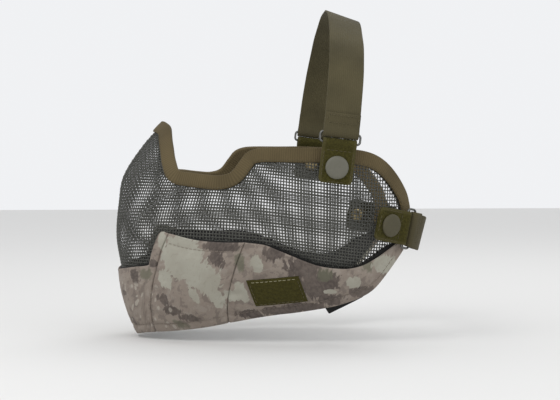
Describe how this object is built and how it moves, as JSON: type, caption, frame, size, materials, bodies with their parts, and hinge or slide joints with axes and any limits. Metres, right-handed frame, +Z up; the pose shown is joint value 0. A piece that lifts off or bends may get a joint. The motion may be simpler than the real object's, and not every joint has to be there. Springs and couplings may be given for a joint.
{
  "type": "half-face mesh mask",
  "caption": "Lower-half face mask: formed wire-mesh shell with webbing edge, padded camouflage skirt, and elastic head and nape straps on snap-fastened tabs.",
  "frame": {"origin": "midway between the two upper snaps, on the middle plane of the wearer's head", "axes": "+X to the wearer's left, -Y to the front, +Z up"},
  "size_m": [0.178, 0.2135, 0.226],
  "materials": {
    "steel_mesh": "woven steel wire, blackened, satin",
    "olive_webbing": "ribbed webbing",
    "black_tape": "plain black tape",
    "camo_fabric": "printed camouflage fabric",
    "foam": "thin foam sheet",
    "lining_fabric": "knitted lining",
    "loop_pile": "hook and loop pile",
    "snap_paint": "painted snap cap, satin",
    "snap_brass": "pressed, dull",
    "ring_steel": "drawn wire",
    "olive_elastic": "ribbed elastic webbing"
  },
  "bodies": {
    "shell": {"mesh_shell": "steel_mesh", "edge_webbing": "olive_webbing", "lower_tape": "black_tape", "chin_panel": "camo_fabric", "cheek_panel_left": "camo_fabric", "cheek_panel_right": "camo_fabric", "jaw_panel_left": "camo_fabric", "jaw_panel_right": "camo_fabric", "foam_padding": "foam", "inner_lining": "lining_fabric", "loop_patch_left": "loop_pile", "loop_patch_right": "loop_pile", "snap_post_upper_left": "snap_brass", "snap_post_upper_right": "snap_brass", "snap_post_rear_left": "snap_brass", "snap_post_rear_right": "snap_brass", "snap_stud_upper_left": "snap_brass", "snap_stud_upper_right": "snap_brass", "snap_stud_rear_left": "snap_brass", "snap_stud_rear_right": "snap_brass"},
    "head_strap": {"head_strap": "olive_elastic", "tab_upper_left": "loop_pile", "tab_upper_right": "loop_pile", "snap_socket_upper_left": "snap_brass", "snap_socket_upper_right": "snap_brass", "snap_cap_upper_left": "snap_paint", "snap_cap_upper_right": "snap_paint"},
    "nape_strap": {"nape_strap": "olive_elastic"},
    "upper_ring_left": {"ring_upper_left": "ring_steel"},
    "nape_tab_left": {"tab_rear_left": "loop_pile", "snap_socket_rear_left": "snap_brass", "snap_cap_rear_left": "snap_paint"},
    "rear_ring_left": {"ring_rear_left": "ring_steel"},
    "hem_tab_left": {"hem_tab_left": "black_tape"},
    "upper_ring_right": {"ring_upper_right": "ring_steel"},
    "nape_tab_right": {"tab_rear_right": "loop_pile", "snap_socket_rear_right": "snap_brass", "snap_cap_rear_right": "snap_paint"},
    "rear_ring_right": {"ring_rear_right": "ring_steel"},
    "hem_tab_right": {"hem_tab_right": "black_tape"}
  },
  "joints": [
    {"name": "head_strap_swing", "type": "hinge", "parent": "shell", "child": "head_strap", "pos_m": [0, 0, 0], "axis": [1, 0, 0], "range_deg": [-50, 30]},
    {"name": "nape_strap_swing", "type": "hinge", "parent": "shell", "child": "nape_strap", "pos_m": [0, 0.03398, -0.038], "axis": [1, 0, 0], "range_deg": [-9.5, 12]},
    {"name": "upper_ring_rock_left", "type": "hinge", "parent": "head_strap", "child": "upper_ring_left", "pos_m": [0.08545, 0.00236, 0.01926], "axis": [0, 0.9925, -0.1219], "range_deg": [-10, 10]},
    {"name": "nape_tab_swivel_left", "type": "hinge", "parent": "shell", "child": "nape_tab_left", "pos_m": [0.06845, 0.03398, -0.038], "axis": [0.8434, 0.527, -0.1045], "range_deg": [-8.7, 10.9]},
    {"name": "rear_ring_twist_left", "type": "hinge", "parent": "nape_tab_left", "child": "rear_ring_left", "pos_m": [0.06392, 0.05089, -0.04151], "axis": [-0.5373, 0.8255, -0.1727], "range_deg": [-3.8, 3.05]},
    {"name": "hem_tab_fold_left", "type": "hinge", "parent": "shell", "child": "hem_tab_left", "pos_m": [0.0546, 0.019, -0.0835], "axis": [-0.4686, 0.4909, -0.7344], "range_deg": [0, 60]},
    {"name": "upper_ring_rock_right", "type": "hinge", "parent": "head_strap", "child": "upper_ring_right", "pos_m": [-0.08545, 0.00236, 0.01926], "axis": [0, 0.9925, -0.1219], "range_deg": [-10, 10]},
    {"name": "nape_tab_swivel_right", "type": "hinge", "parent": "shell", "child": "nape_tab_right", "pos_m": [-0.06845, 0.03398, -0.038], "axis": [0.8434, -0.527, 0.1045], "range_deg": [-8.7, 10.9]},
    {"name": "rear_ring_twist_right", "type": "hinge", "parent": "nape_tab_right", "child": "rear_ring_right", "pos_m": [-0.06392, 0.05089, -0.04151], "axis": [-0.5373, -0.8255, 0.1727], "range_deg": [-3.8, 3.05]},
    {"name": "hem_tab_fold_right", "type": "hinge", "parent": "shell", "child": "hem_tab_right", "pos_m": [-0.0546, 0.019, -0.0835], "axis": [-0.4686, -0.4909, 0.7344], "range_deg": [0, 60]}
  ],
  "couplings": [
    {"joint": "nape_tab_swivel_left", "follows": "nape_strap_swing", "ratio": 0.9},
    {"joint": "rear_ring_twist_left", "follows": "nape_strap_swing", "ratio": -0.31},
    {"joint": "nape_tab_swivel_right", "follows": "nape_strap_swing", "ratio": 0.9},
    {"joint": "rear_ring_twist_right", "follows": "nape_strap_swing", "ratio": -0.31}
  ]
}
